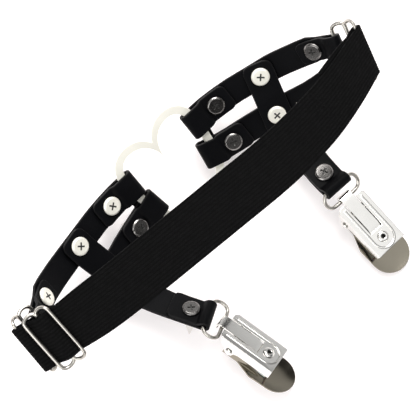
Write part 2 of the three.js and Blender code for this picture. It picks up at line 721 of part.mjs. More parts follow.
function hangClip(side, end, hang) {
    const bar = lift(end, WIRE + 1.5 * GAP + LEATHER / 2, 0, hang.slip);
    const ringSide = skewed(end, hang.ringSkew);
    const upperBar = frame(bar.at, direction(hang.ringTurn, hang.ringDip), ringSide);
    const lowerBar = lift(upperBar, 0, RING.height);
    const base = frame(lowerBar.at, direction(hang.turn, hang.dip), skewed(lowerBar, hang.skew));
    return [
        piece(`${side}_clip_ring`, into(lift(upperBar, 0, RING.height / 2), clipRing()), 'nickel'),
        piece(`${side}_clip_body`, into(base, clipBody()), 'nickel'),
        piece(`${side}_clip_tongue`, into(base, clipTongue()), 'nickel'),
        piece(`${side}_clip_eyelet`, into(base, clipEyelet()), 'nickel'),
        piece(`${side}_clip_pad`, into(base, clipPad()), 'pad'),
        piece(`${side}_clip_lever`, into(base, clipLever()), 'lever'),
        piece(`${side}_clip_pin`, into(base, clipPin()), 'nickel'),
    ];
}

// One side of the harness: its leather, studs and clip

function harnessSide(side, tables, cross, hang) {
    const upper = new Route(stations(tables.upper));
    const lower = new Route(stations(tables.lower));
    const places = {
        upper_heart: upper.at(STUD.heart),
        upper_drop: upper.at(upper.nearest(cross.upper)),
        upper_slide: upper.at(upper.length - STUD.slide),
        lower_heart: lower.at(STUD.heart),
        lower_drop: lower.at(lower.nearest(cross.lower)),
    };
    const route = dropRoute(places.upper_drop, places.lower_drop, tables.drop);
    const clipStud = route.at(route.length - STUD.clip);
    const studs = Object.entries({ ...places, clip: clipStud })
        .flatMap(([place, base]) => stud(`${side}_${place}`, base));
    const front = frontHalf(upper, lower, Object.values(places));
    const drop = dropStrap(route, [places.upper_drop, places.lower_drop, clipStud]);
    return {
        upper,
        lower,
        meshes: [
            piece(`${side}_front_leather`, front, 'leather'),
            piece(`${side}_drop_strap`, drop, 'leather'),
            ...studs,
            ...hangClip(side, route.at(route.length), hang),
        ],
    };
}

// The heart's frame: between the four heart loops, its notch towards the upper straps

function heartFrame(left, right) {
    const middle = (a, b) => a.at(0).at.clone().add(b.at(0).at).multiplyScalar(0.5);
    const top = middle(left.upper, right.upper);
    const down = middle(left.lower, right.lower).sub(top);
    const across = right.upper.at(0).at.clone().sub(left.upper.at(0).at);
    const base = frame(top, down.negate(), across);
    return lift(base, (HEART.thickness + GAP + LAP) / 2, HEART.notch);
}

const left = harnessSide('left', { upper: UPPER_LEFT, lower: LOWER_LEFT, drop: DROP_LEFT },
    CROSS_LEFT, LEFT_CLIP);
const right = harnessSide('right', { upper: UPPER_RIGHT, lower: LOWER_RIGHT, drop: DROP_RIGHT },
    CROSS_RIGHT, RIGHT_CLIP);
const leftSlide = endSlide(left.upper, LEFT_SLIDE);
const rightSlide = endSlide(right.upper, RIGHT_SLIDE);
const web = elasticRoute(leftSlide.farBar, rightSlide.farBar);
const adjusterAt = web.nearest(ADJUSTER.x);
const adjusterCentre = lift(web.at(adjusterAt), ADJUSTER.level, 0, ADJUSTER.low);

const harness = new THREE.Group();
harness.add(
    piece('heart_ring', into(heartFrame(left, right), heartRing()), 'nickel'),
    piece('elastic_band', elasticBand(web, adjusterAt), 'elastic'),
    piece('adjuster_slider', into(adjusterCentre, slide()), 'nickel'),
    piece('left_end_slide', into(leftSlide.centre, slide()), 'nickel'),
    piece('right_end_slide', into(rightSlide.centre, slide()), 'nickel'),
    ...left.meshes,
    ...right.meshes,
);
harness.position.set(-BASE.x, -BASE.y, -BASE.z);

export default harness;
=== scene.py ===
import json
import math
import random

import bmesh
import bpy
import numpy as np
from bpy.props import FloatProperty, FloatVectorProperty, IntProperty, PointerProperty
from mathutils import Matrix, Vector
from mathutils.bvhtree import BVHTree


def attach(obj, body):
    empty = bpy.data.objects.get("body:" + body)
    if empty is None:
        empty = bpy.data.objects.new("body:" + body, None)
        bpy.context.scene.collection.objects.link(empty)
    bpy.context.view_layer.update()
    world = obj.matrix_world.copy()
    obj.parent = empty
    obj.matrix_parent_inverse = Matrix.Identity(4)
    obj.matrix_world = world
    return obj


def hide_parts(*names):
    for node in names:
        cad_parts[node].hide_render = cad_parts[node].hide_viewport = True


bl_info = {
    "name": "Thigh harness",
    "version": (1, 0, 0),
    "blender": (4, 5, 0),
    "location": "3D View > Sidebar > Harness",
    "description": "Finishes a spiked thigh harness around its solids",
    "category": "Object",
}

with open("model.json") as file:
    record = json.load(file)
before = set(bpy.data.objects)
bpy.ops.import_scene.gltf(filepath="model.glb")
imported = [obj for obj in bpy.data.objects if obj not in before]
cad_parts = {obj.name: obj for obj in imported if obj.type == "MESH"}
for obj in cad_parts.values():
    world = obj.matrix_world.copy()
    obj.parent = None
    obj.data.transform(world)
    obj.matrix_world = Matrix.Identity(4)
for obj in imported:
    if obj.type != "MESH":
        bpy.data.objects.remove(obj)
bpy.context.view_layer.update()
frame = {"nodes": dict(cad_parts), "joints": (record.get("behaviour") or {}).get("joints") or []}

MM = 0.001
SIDES = ("left", "right")
STUDS = ("upper_heart", "upper_drop", "upper_slide", "lower_heart", "lower_drop", "clip")
# These five screws get the brighter plate, a painted highlight: a lit copy of the one nickel plating.
HIGHLIGHT_SCREWS = {
    "left_upper_heart_screw", "left_upper_drop_screw", "left_upper_slide_screw", "right_upper_drop_screw",
    "right_lower_drop_screw",
}
BODY = "harness"
WEBBING = 25 * MM
SELVEDGE = 0.3 * MM
NEARBY = 6 * MM
EYELET_FROM_PIN = 15.1 * MM


# Settings that a user would change


def length(name, description, default, low=0.0):
    return FloatProperty(name=name, description=description, default=default * MM, min=low, unit="LENGTH")


def color(name, description, default):
    return FloatVectorProperty(
        name=name, description=description, default=default, size=3, min=0, max=1, subtype="COLOR"
    )


class LeatherSettings(bpy.types.PropertyGroup):
    color: color("Leather", "Colour of the leather's face", (0.0021, 0.0022, 0.0028))
    # The cut edges' lighter colour is partly their own tone and partly painted sheen on the rounded edges.
    cut_edge_and_sheen: color("Cut edge", "Colour of the leather's burnished edges", (0.008, 0.0078, 0.008))
    edge: length("Edge radius", "Rounding of the leather's cut edges", 0.32)
    grain: length("Grain", "Distance between the pores of the leather", 0.55)


class ElasticSettings(bpy.types.PropertyGroup):
    color: color("Elastic", "Colour of the woven elastic", (0.003, 0.003, 0.0031))
    rib: length("Rib", "Distance between the ribs along the elastic", 1.56)
    depth: length("Rib depth", "Height of the ribs", 0.06)
    pick: length("Pick", "Length of one stitch of the weave", 1.1)
    thread: length("Thread", "Thickness of the sewing thread", 0.26)
    yarn: color("Yarn", "Colour of the loose yarn at the sewn end", (0.5, 0.48, 0.44))
    sewing: color("Sewing thread", "Colour of the hem stitches", (0.006, 0.006, 0.0065))
    frayed: IntProperty(name="Frayed ends", description="Loose threads at the sewn end", default=15, min=0)


class MetalSettings(bpy.types.PropertyGroup):
    nickel: color("Nickel", "Colour of the plated fittings", (0.84, 0.83, 0.8))
    wire: color("Wire", "Colour of the plated slides and rings", (0.5, 0.48, 0.44))
    # The darker screws are painted shade and the brighter ones painted highlight; both stand for the one
    # nickel plating.
    painted_shade: color("Dark", "Colour of the darker screws", (0.22, 0.212, 0.205))
    painted_highlight: color("Highlight", "Colour of the satin plating on the heart ring and five screws", (0.93, 0.91, 0.82))
    lever: color("Lever", "Colour of the clip levers", (0.27, 0.247, 0.2))
    pad: color("Pad", "Colour of the clip pads", (0.7, 0.7, 0.68))
    edge: length("Edge radius", "Rounding of the stamped edges", 0.14)
    bend: length("Bend radius", "Rounding of the plates' folded edges", 0.3)
    dish: length("Dish", "How far the rim of a clip lever turns up", 0.6)
    recess: length("Recess", "Half the span of a screw's cross recess", 2.0)
    facets: IntProperty(name="Facets", description="Sides of the turned studs", default=40, min=12)


class StageSettings(bpy.types.PropertyGroup):
    azimuth: FloatProperty(
        name="Azimuth", description="Heading of the camera", default=math.radians(42.3), subtype="ANGLE"
    )
    elevation: FloatProperty(
        name="Elevation", description="Height of the camera", default=math.radians(82), subtype="ANGLE"
    )
    distance: length("Distance", "From the camera to the object", 900)
    lens: FloatProperty(name="Lens", description="Focal length in millimetres", default=175.2, min=1)
    target: FloatVectorProperty(
        name="Target", description="What the camera looks at", size=3, unit="LENGTH",
        default=(-0.5 * MM, 17.8 * MM, 38.7 * MM),
    )


# Node materials


def add(tree, kind, **settings):
    """A shader node with its settings, and its plain inputs given by name in a dictionary."""
    made = tree.nodes.new(kind)
    for name, value in settings.pop("inputs", {}).items():
        made.inputs[name].default_value = value
    for name, value in settings.items():
        setattr(made, name, value)
    return made


def start_material(name, roughness, metallic=0.0, **sockets):
    """A material, its node tree and its shader, with the constant sockets set."""
    made = bpy.data.materials.new(name)
    made.use_nodes = True
    shader = made.node_tree.nodes["Principled BSDF"]
    shader.inputs["Roughness"].default_value = roughness
    shader.inputs["Metallic"].default_value = metallic
    for socket, value in sockets.items():
        shader.inputs[socket.replace("_", " ")].default_value = value
    return made, made.node_tree, shader


def spread(tree, source, low, high):
    """A number from 0 to 1 mapped to a range."""
    mapped = add(tree, "ShaderNodeMapRange", inputs={"To Min": low, "To Max": high})
    tree.links.new(source, mapped.inputs["Value"])
    return mapped.outputs["Result"]


def blend(tree, factor, first, second):
    """One colour or another by a factor; each is a colour or a socket."""
    mix = add(tree, "ShaderNodeMix", data_type="RGBA")
    tree.links.new(factor, mix.inputs["Factor"])
    for socket, value in ((mix.inputs[6], first), (mix.inputs[7], second)):
        if isinstance(value, bpy.types.NodeSocket):
            tree.links.new(value, socket)
        else:
            socket.default_value = (*value, 1)
    return mix.outputs[2]


def bump(tree, shader, height, depth, strength):
    """Relief on the shader's normal."""
    relief = add(tree, "ShaderNodeBump", inputs={"Distance": depth, "Strength": strength})
    tree.links.new(height, relief.inputs["Height"])
    tree.links.new(relief.outputs["Normal"], shader.inputs["Normal"])


def noise(tree, place, scale, detail=3.0):
    """Soft noise of the given number of waves per metre."""
    made = add(tree, "ShaderNodeTexNoise", inputs={"Scale": scale, "Detail": detail})
    tree.links.new(place, made.inputs["Vector"])
    return made.outputs["Fac"]


def leather_material(settings):
    made, tree, shader = start_material("black_leather", 0.42, Specular_IOR_Level=0.07)
    place = add(tree, "ShaderNodeTexCoord").outputs["Object"]
    pores = add(tree, "ShaderNodeTexVoronoi", inputs={"Scale": 1 / settings.grain, "Randomness": 0.9})
    tree.links.new(place, pores.inputs["Vector"])
    cloudy = noise(tree, place, 70)
    cut_edge_and_sheen = add(tree, "ShaderNodeAttribute", attribute_name="cut_edge").outputs["Fac"]
    face = blend(tree, cloudy, [0.8 * c for c in settings.color], [1.35 * c for c in settings.color])
    # Cut-edge faces take the lighter edge colour: partly the edge's own tone, partly painted sheen.
    tree.links.new(blend(tree, cut_edge_and_sheen, face, settings.cut_edge_and_sheen), shader.inputs["Base Color"])
    tree.links.new(spread(tree, cloudy, 0.34, 0.56), shader.inputs["Roughness"])
    creases = add(tree, "ShaderNodeMath", operation="MULTIPLY_ADD", inputs={1: 0.7})
    tree.links.new(noise(tree, place, 260, 5.0), creases.inputs[0])
    tree.links.new(pores.outputs["Distance"], creases.inputs[2])
    bump(tree, shader, creases.outputs["Value"], 0.05 * MM, 0.6)
    return made


def rib_ridges(tree, place, rib):
    """1 on the crest of each rib along the elastic and 0 in the groove between two."""
    across = add(tree, "ShaderNodeSeparateXYZ")
    tree.links.new(place, across.inputs["Vector"])
    turns = add(tree, "ShaderNodeMath", operation="MULTIPLY", inputs={1: 2 * math.pi / rib})
    tree.links.new(across.outputs["Y"], turns.inputs[0])
    wave = add(tree, "ShaderNodeMath", operation="COSINE")
    tree.links.new(turns.outputs["Value"], wave.inputs[0])
    ridge = add(tree, "ShaderNodeMapRange", inputs={"From Min": -1.0, "From Max": 0.4})
    tree.links.new(wave.outputs["Value"], ridge.inputs["Value"])
    return ridge.outputs["Result"]


def elastic_material(settings):
    made, tree, shader = start_material("woven_elastic", 0.88, Specular_IOR_Level=0.06)
    place = add(tree, "ShaderNodeUVMap", uv_map="weave").outputs["UV"]
    weave = add(tree, "ShaderNodeTexBrick", offset=0.5, inputs={
        "Scale": 1.0, "Mortar Size": 0.1, "Mortar Smooth": 0.9,
        "Brick Width": settings.pick / MM, "Row Height": settings.rib / MM / 2,
        "Color1": (*[1.1 * c for c in settings.color], 1),
        "Color2": (*[3.2 * c for c in settings.color], 1),
        "Mortar": (*[0.15 * c for c in settings.color], 1),
    })
    tree.links.new(place, weave.inputs["Vector"])
    dusty = noise(tree, place, 0.35, 4.0)
    pale = blend(tree, dusty, weave.outputs["Color"], [1.3 * c for c in settings.color])
    ridge = rib_ridges(tree, place, settings.rib / MM)
    # The grooves between the ribs are painted darker as shade; the crests keep the weave's colour.
    painted_groove_shade = blend(tree, ridge, [0.5 * c for c in settings.color], pale)
    tree.links.new(painted_groove_shade, shader.inputs["Base Color"])
    tree.links.new(spread(tree, dusty, 0.78, 0.95), shader.inputs["Roughness"])
    height = spread(tree, weave.outputs["Fac"], 1.0, 0.0)
    bump(tree, shader, height, 0.25 * MM, 1.0)
    return made


def metal_material(name, tint, roughness):
    made, tree, shader = start_material(name, roughness, metallic=1.0)
    place = add(tree, "ShaderNodeTexCoord").outputs["Object"]
    cloudy = noise(tree, place, 160, 4.0)
    tone = blend(tree, cloudy, [0.88 * c for c in tint], tint)
    tree.links.new(tone, shader.inputs["Base Color"])
    tree.links.new(spread(tree, cloudy, 0.6 * roughness, 1.5 * roughness), shader.inputs["Roughness"])
    bump(tree, shader, noise(tree, place, 260, 2.0), 0.01 * MM, 0.06)
    return made


def pad_material(settings):
    made, tree, shader = start_material("clip_pad_plastic", 0.5, Subsurface_Weight=0.15)
    shader.inputs["Subsurface Scale"].default_value = 1.5 * MM
    place = add(tree, "ShaderNodeTexCoord").outputs["Object"]
    cloudy = noise(tree, place, 300)
    tree.links.new(blend(tree, cloudy, [0.85 * c for c in settings.pad], settings.pad),
                   shader.inputs["Base Color"])
    bump(tree, shader, cloudy, 0.04 * MM, 0.4)
    return made


def highlight_plate_material(settings):
    """A brighter cream-white copy of the plating, painted highlight in place of bright reflections; it
    scatters light more than the bright fittings do.
    """
    made, tree, shader = start_material("painted_highlight_plate", 0.42, metallic=0.4)
    place = add(tree, "ShaderNodeTexCoord").outputs["Object"]
    cloudy = noise(tree, place, 90, 4.0)
    tone = blend(tree, cloudy, [0.94 * c for c in settings.painted_highlight], settings.painted_highlight)
    tree.links.new(tone, shader.inputs["Base Color"])
    tree.links.new(spread(tree, cloudy, 0.34, 0.5), shader.inputs["Roughness"])
    bump(tree, shader, noise(tree, place, 500, 2.0), 0.01 * MM, 0.3)
    return made


def recess_material(settings):
    """Painted shade down in a screw's recess and an eyelet's bore: darker, rougher metal where the hollow
    lies in shade.
    """
    made, tree, shader = start_material("screw_recess", 0.5, metallic=0.8)
    place = add(tree, "ShaderNodeTexCoord").outputs["Object"]
    recess_shade = [0.16 * c for c in settings.nickel]
    dusty = noise(tree, place, 700)
    tree.links.new(blend(tree, dusty, [0.5 * c for c in recess_shade], recess_shade), shader.inputs["Base Color"])
    bump(tree, shader, dusty, 0.03 * MM, 0.5)
    return made


def thread_material(name, tint):
    made, tree, shader = start_material(name, 0.85, Specular_IOR_Level=0.08)
    place = add(tree, "ShaderNodeTexCoord").outputs["Object"]
    twist = noise(tree, place, 1800, 1.0)
    tree.links.new(blend(tree, twist, [0.6 * c for c in tint], tint), shader.inputs["Base Color"])
    bump(tree, shader, twist, 0.05 * MM, 0.6)
    return made


def shared(name, make, *inputs):
    """A material by name, made on first use."""
    return bpy.data.materials.get(name) or make(*inputs)


def nickel():
    tint = tuple(bpy.context.scene.harness_metal.nickel)
    return shared("nickel_plate", metal_material, "nickel_plate", tint, 0.16)


# Meshes


def merged(node):
    """A copy of a node's solid with its vertices joined."""
    mesh = bmesh.new()
    mesh.from_mesh(frame["nodes"][node].data)
    bmesh.ops.remove_doubles(mesh, verts=mesh.verts, dist=2e-3 * MM)
    return mesh


def whole_faces(mesh):
    """Joins the triangles of each flat face."""
    bmesh.ops.dissolve_limit(
        mesh, angle_limit=math.radians(0.6), verts=mesh.verts, edges=mesh.edges, use_dissolve_boundaries=False
    )


def quads(mesh):
    """Joins each pair of triangles across the longest edge of both."""
    def longest(face):
        return max(face.edges, key=lambda edge: edge.calc_length())

    pairs = [
        edge for edge in mesh.edges
        if len(edge.link_faces) == 2 and edge.calc_face_angle(math.pi) < math.radians(32)
        and all(len(face.verts) == 3 and longest(face) == edge for face in edge.link_faces)
    ]
    bmesh.ops.dissolve_edges(mesh, edges=pairs, use_verts=False)


def round_edges(mesh, radius, sharp=50, segments=2, wanted=lambda edge: True):
    """Rounds the sharp edges that are wanted, and returns the new faces."""
    edges = [
        edge for edge in mesh.edges
        if edge.is_manifold and edge.calc_face_angle(0) > math.radians(sharp) and wanted(edge)
    ]
    done = bmesh.ops.bevel(
        mesh, geom=edges, offset=radius, offset_type="OFFSET", affect="EDGES", segments=segments,
        profile=0.5, material=-1, clamp_overlap=False,
    )
    return done["faces"]


def spun(profile, steps):
    """A solid of revolution about Z through (radius, height) points that start and end on the axis."""
    mesh = bmesh.new()
    verts = [mesh.verts.new((radius, 0, height)) for radius, height in profile]
    edges = [mesh.edges.new(pair) for pair in zip(verts, verts[1:])]
    bmesh.ops.spin(
        mesh, geom=verts + edges, cent=(0, 0, 0), axis=(0, 0, 1), angle=2 * math.pi, steps=steps,
        use_merge=True,
    )
    bmesh.ops.remove_doubles(mesh, verts=mesh.verts, dist=1e-3 * MM)
    bmesh.ops.recalc_face_normals(mesh, faces=mesh.faces)
    return mesh


def as_object(mesh, name):
    """A linked object of a bmesh, smooth shaded."""
    for face in mesh.faces:
        face.smooth = True
    for edge in mesh.edges:
        edge.smooth = edge.calc_face_angle(0) < math.radians(40)
    data = bpy.data.meshes.new(name)
    mesh.to_mesh(data)
    mesh.free()
    made = bpy.data.objects.new(name, data)
    bpy.context.scene.collection.objects.link(made)
    return made


def piece(mesh, name, material, body=BODY, node=None):
    """A finished piece that rides on a body and may stand for a node."""
    made = as_object(mesh, name)
    made.data.materials.append(material)
    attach(made, body)
    if node:
        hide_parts(node)
    return made


def flat_shaded(made):
    """Keeps broad faces flat beside their rounded edges."""
    weighted = made.modifiers.new("Face weight", "WEIGHTED_NORMAL")
    weighted.keep_sharp = True


def subdivided(made, levels):
    """Rounds a piece all over."""
    smooth = made.modifiers.new("Smooth", "SUBSURF")
    smooth.levels = smooth.render_levels = levels


def corners(node):
    """A node's distinct vertices."""
    places = np.array([vertex.co for vertex in frame["nodes"][node].data.vertices])
    return np.unique(places.round(6), axis=0)


def turned_frame(node):
    """The axis frame of a turned solid: its wide end's plane, Z pointing out of that end."""
    places = corners(node)
    middle = places.mean(axis=0)
    spans, axes = np.linalg.eigh(np.cov((places - middle).T))
    axis = axes[:, 0] if spans[1] - spans[0] > spans[2] - spans[1] else axes[:, 2]
    along = (places - middle) @ axis
    away = np.linalg.norm(places - middle - np.outer(along, axis), axis=1)
    if along[away > 0.8 * away.max()].mean() < (along.min() + along.max()) / 2:
        axis, along = -axis, -along
    end = Vector(middle + axis * along.max())
    turn = Vector((0, 0, 1)).rotation_difference(Vector(axis)).to_matrix().to_4x4()
    return Matrix.Translation(end) @ turn


# Leather


def leather_piece(node, stud_lines, settings):
    """A strap with its cut edges rounded, apart from the holes of its studs."""
    mesh = merged(node)
    whole_faces(mesh)
    hole = 2.6 * MM

    def clear_of_holes(edge):
        middle = (edge.verts[0].co + edge.verts[1].co) / 2
        return all((middle - at).cross(axis).length > hole for at, axis in stud_lines)

    cut_edge = mesh.faces.layers.float.new("cut_edge")
    # The rounded cut-edge faces carry the lighter edge colour, partly painted sheen.
    for face in round_edges(mesh, settings.edge, sharp=60, segments=3, wanted=clear_of_holes):
        face[cut_edge] = 1.0
    hide = shared("black_leather", leather_material, settings)
    flat_shaded(piece(mesh, f"{node}_hide", hide, node=node))


class HARNESS_OT_leather(bpy.types.Operator):
    """Finishes the forked front straps and the drop straps"""

    bl_idname = "harness.leather"
    bl_label = "Leather"

    def execute(self, context):
        settings = context.scene.harness_leather
        for side in SIDES:
            places = [turned_frame(f"{side}_{stud}_screw") for stud in STUDS]
            lines = [(place.translation, place.col[2].to_3d()) for place in places]
            leather_piece(f"{side}_front_leather", lines, settings)
            leather_piece(f"{side}_drop_strap", lines, settings)
        return {"FINISHED"}


# Elastic


def run_length(mesh):
    """The length along the elastic's upper face as a function of X."""
    spots = sorted((v.co.x, v.co.z) for v in mesh.verts)
    low, high = spots[0][0], spots[-1][0]
    grid = np.linspace(low, high, 60)
    tops = [max(z for x, z in spots if abs(x - here) < NEARBY) for here in grid]
    steps = np.hypot(np.diff(grid), np.diff(tops))
    lengths = np.concatenate([[0], np.cumsum(steps)])
    return lambda x: float(np.interp(x, grid, lengths))


def cross_edges(mesh):
    """The edges that span the elastic's width."""
    def spans(edge):
        one, other = edge.verts
        return edge.calc_length() > 0.8 * WEBBING and abs(one.co.y - other.co.y) > 0.72 * WEBBING

    return [edge for edge in mesh.edges if spans(edge)]


def elastic_piece(settings):
    """The elastic with its ribs, and a map along and across it for the weave."""
    mesh = merged("elastic_band")
    quads(mesh)
    along = run_length(mesh)
    across = mesh.verts.layers.float.new("across")
    for edge in cross_edges(mesh):
        near, far = sorted(edge.verts, key=lambda vertex: vertex.co.y)
        half = edge.calc_length() / 2
        near[across], far[across] = -half, half
    cuts = 4 * round(WEBBING / settings.rib) - 1
    bmesh.ops.subdivide_edges(mesh, edges=cross_edges(mesh), cuts=cuts, use_grid_fill=True)
    mesh.normal_update()
    ribbed = WEBBING / 2 - SELVEDGE
    moves = []
    for vertex in mesh.verts:
        wave = math.cos(2 * math.pi * vertex[across] / settings.rib) if abs(vertex[across]) < ribbed else 0.0
        moves.append((vertex, vertex.normal * settings.depth * wave))
    for vertex, move in moves:
        vertex.co += move
    weave = mesh.loops.layers.uv.new("weave")
    for face in mesh.faces:
        for loop in face.loops:
            loop[weave].uv = (along(loop.vert.co.x) / MM, loop.vert[across] / MM)
    woven = shared("woven_elastic", elastic_material, settings)
    subdivided(piece(mesh, "elastic_weave", woven, node="elastic_band"), 1)


def sewn_end(mesh):
    """Both ends of the line across the elastic where its sewn layer stops."""
    edges = cross_edges(mesh)
    middle = {edge: (edge.verts[0].co + edge.verts[1].co) / 2 for edge in edges}
    right = [edge for edge in edges if 40 * MM < middle[edge].x < 90 * MM]
    two_layers = 2.1 * MM

    def depth(edge):
        top = max(middle[other].z for other in edges if abs(middle[other].x - middle[edge].x) < NEARBY)
        return top - middle[edge].z

    hem = min((edge for edge in right if depth(edge) > two_layers), key=lambda edge: middle[edge].x)
    near, far = sorted(hem.verts, key=lambda vertex: vertex.co.y)
    return near.co.copy(), far.co.copy()


def tube(mesh, points, radius, sides=6):
    """Adds a round thread through the points, with closed ends."""
    rings = []
    for i, point in enumerate(points):
        ahead = points[min(i + 1, len(points) - 1)] - points[max(i - 1, 0)]
        turn = Vector((0, 0, 1)).rotation_difference(ahead).to_matrix().to_4x4()
        ring = bmesh.ops.create_circle(
            mesh, cap_ends=i in (0, len(points) - 1), radius=radius, segments=sides,
            matrix=Matrix.Translation(point) @ turn,
        )
        rings.append(ring["verts"])
    for one, other in zip(rings, rings[1:]):
        for j in range(sides):
            k = (j + 1) % sides
            mesh.faces.new((one[j], one[k], other[k], other[j]))


def frayed_threads(settings, near, far):
    """Loose rubber and yarn ends that stick out of the sewn layer's cut end."""
    draws = random.Random(7)
    mesh = bmesh.new()
    for i in range(settings.frayed):
        share = 0.03 + 0.94 * (i + draws.random()) / settings.frayed
        root = near.lerp(far, share)
        outward = Vector((-1.0, 1.3 * share ** 3, -0.22)).normalized()
        root += Vector((0, 0, 0.35 * MM)) - outward * 0.5 * MM
        reach = draws.uniform(1.0, 3.4) * MM
        drift = Vector((0, draws.uniform(-0.5, 0.5), draws.uniform(-0.35, 0.1)))
        points = [root + outward * reach * t + drift * reach * t * t for t in (0, 0.3, 0.55, 0.8, 1)]
        tube(mesh, points, draws.uniform(0.08, 0.15) * MM)
    bmesh.ops.recalc_face_normals(mesh, faces=mesh.faces)
    yarn = shared("pale_thread", thread_material, "pale_thread", tuple(settings.yarn))
    piece(mesh, "elastic_frayed_threads", yarn)


def hem_stitches(settings, solid, near, far):
    """Rows of lockstitch across the elastic that hold its sewn layer."""
    surface = BVHTree.FromBMesh(solid)
    mesh = bmesh.new()
    across = far - near
    pitch, above = 2.3 * MM, 20 * MM
    count = int(across.length / pitch) - 1
    for inset in (3.2 * MM, 5.6 * MM):
        for i in range(count):
            spot = near + across * (i + 1) / (count + 1) + Vector((inset, 0, above))
            hit, normal, _, _ = surface.ray_cast(spot, Vector((0, 0, -1)))
            if hit is None:
                continue
            side = across - normal * across.dot(normal)
            turn = Matrix((side.normalized(), normal.cross(side).normalized(), normal)).transposed()
            size = Matrix.Diagonal((0.8 * MM, settings.thread, 0.7 * settings.thread, 1))
            bmesh.ops.create_icosphere(
                mesh, subdivisions=1, radius=1.0,
                matrix=Matrix.Translation(hit + normal * 0.1 * MM) @ turn.to_4x4() @ size,
            )
    thread = shared("black_thread", thread_material, "black_thread", tuple(settings.sewing))
    piece(mesh, "elastic_hem_stitches", thread)


class HARNESS_OT_elastic(bpy.types.Operator):
    """Weaves the elastic band, its hem stitches and its frayed end"""

    bl_idname = "harness.elastic"
    bl_label = "Elastic"

    def execute(self, context):
        settings = context.scene.harness_elastic
        elastic_piece(settings)
        solid = merged("elastic_band")
        quads(solid)
        near, far = sewn_end(solid)
        frayed_threads(settings, near, far)
        hem_stitches(settings, solid, near, far)
        solid.free()
        return {"FINISHED"}


# Studs


def cross_cutter(reach):
    """A tapered plus-shaped block that sinks a cross recess."""
    mesh = bmesh.new()
    arm = 0.42 * MM
    deep = 0.85 * MM
    outline = [(reach, -arm), (reach, arm), (arm, arm), (arm, reach), (-arm, reach), (-arm, arm),
               (-reach, arm), (-reach, -arm), (-arm, -arm), (-arm, -reach), (arm, -reach), (arm, -arm)]
    face = mesh.faces.new([mesh.verts.new((x, y, 0.3 * MM)) for x, y in outline])
    grown = bmesh.ops.extrude_face_region(mesh, geom=[face])
    sunk = [item for item in grown["geom"] if isinstance(item, bmesh.types.BMVert)]
    bmesh.ops.scale(mesh, verts=sunk, vec=(0.62, 0.62, 1))
    bmesh.ops.translate(mesh, verts=sunk, vec=(0, 0, -deep - 0.3 * MM))
    bmesh.ops.recalc_face_normals(mesh, faces=mesh.faces)
    return mesh


def without(mesh, cutter):
    """A mesh data block of one solid less another."""
    target = as_object(mesh, "cut_target")
    tool = as_object(cutter, "cut_tool")
    difference = target.modifiers.new("Recess", "BOOLEAN")
    difference.operation = "DIFFERENCE"
    difference.solver = "EXACT"
    difference.object = tool
    depsgraph = bpy.context.evaluated_depsgraph_get()
    data = bpy.data.meshes.new_from_object(target.evaluated_get(depsgraph))
    for spare in (target, tool):
        bpy.data.objects.remove(spare)
    return data


def screw_shape(settings):
    """A screw with a chamfered flat head, its face in the plane Z = 0."""
    foot, shaft, head, thick = 8.4 * MM, 1.4 * MM, 4.25 * MM, 1.2 * MM
    profile = [
        (0, -foot), (shaft - 0.3 * MM, -foot), (shaft, -foot + 0.3 * MM), (shaft, -thick),
        (head - 0.12 * MM, -thick), (head, -thick + 0.12 * MM), (head, -0.62 * MM),
        (head - 0.1 * MM, -0.46 * MM), (head - 0.62 * MM, -0.12 * MM), (head - 0.78 * MM, -0.03 * MM),
        (head - 0.95 * MM, 0), (0, 0),
    ]
    return without(spun(profile, settings.facets), cross_cutter(settings.recess))


def spike_shape(settings):
    """A cone spike with a bore for its screw, its base in the plane Z = 0."""
    base, foot, height, tip = 4 * MM, 0.8 * MM, 14 * MM, 0.5 * MM
    bore, deep = 1.7 * MM, 5 * MM
    profile = [
        (0, -height), (0.3 * MM, 0.06 * MM - height), (tip, 0.3 * MM - height),
        (tip + 0.12 * MM, 0.9 * MM - height),
        (base - 0.22 * MM, -foot - 0.5 * MM), (base - 0.04 * MM, -foot - 0.06 * MM), (base, -foot + 0.1 * MM),
        (base, -0.12 * MM), (base - 0.12 * MM, 0), (bore, 0), (bore, -deep), (0, -deep),
    ]
    return spun(profile, settings.facets)


class HARNESS_OT_screws(bpy.types.Operator):
    """Makes the cross-recess screws, each turned its own way"""

    bl_idname = "harness.screws"
    bl_label = "Screws"

    def execute(self, context):
        settings = context.scene.harness_metal
        shape = screw_shape(settings)
        # Lit and shaded copies of the one plating: painted highlight on five screws, painted shade on the
        # rest.
        painted_highlight = shared("painted_highlight_plate", highlight_plate_material, settings)
        painted_shade = shared("painted_shade_plate", metal_material, "painted_shade_plate", tuple(settings.painted_shade), 0.22)
        recess = shared("screw_recess", recess_material, settings)
        draws = random.Random(11)
        for side in SIDES:
            for stud in STUDS:
                node = f"{side}_{stud}_screw"
                mesh = bmesh.new()
                mesh.from_mesh(shape)
                spin = Matrix.Rotation(draws.uniform(0, math.pi / 2), 4, "Z")
                for face in mesh.faces:
                    middle = face.calc_center_median()
                    # The recess faces take the second slot, painted shade.
                    sunk = -1.1 * MM < middle.z < -0.02 * MM and middle.xy.length < 1.2 * settings.recess
                    face.material_index = 1 if sunk else 0
                mesh.transform(turned_frame(node) @ spin)
                # Screws outside the highlighted five get the darker plate as painted shade.
                plate = painted_highlight if node in HIGHLIGHT_SCREWS else painted_shade
                made = piece(mesh, f"{node}_turned", plate, node=node)
                made.data.materials.append(recess)
                flat_shaded(made)
        return {"FINISHED"}


class HARNESS_OT_spikes(bpy.types.Operator):
    """Makes the cone spikes under the straps"""

    bl_idname = "harness.spikes"
    bl_label = "Spikes"

    def execute(self, context):
        for side in SIDES:
            for stud in STUDS:
                node = f"{side}_{stud}_spike"
                mesh = spike_shape(context.scene.harness_metal)
                mesh.transform(turned_frame(node))
                flat_shaded(piece(mesh, f"{node}_turned", nickel(), node=node))
        return {"FINISHED"}


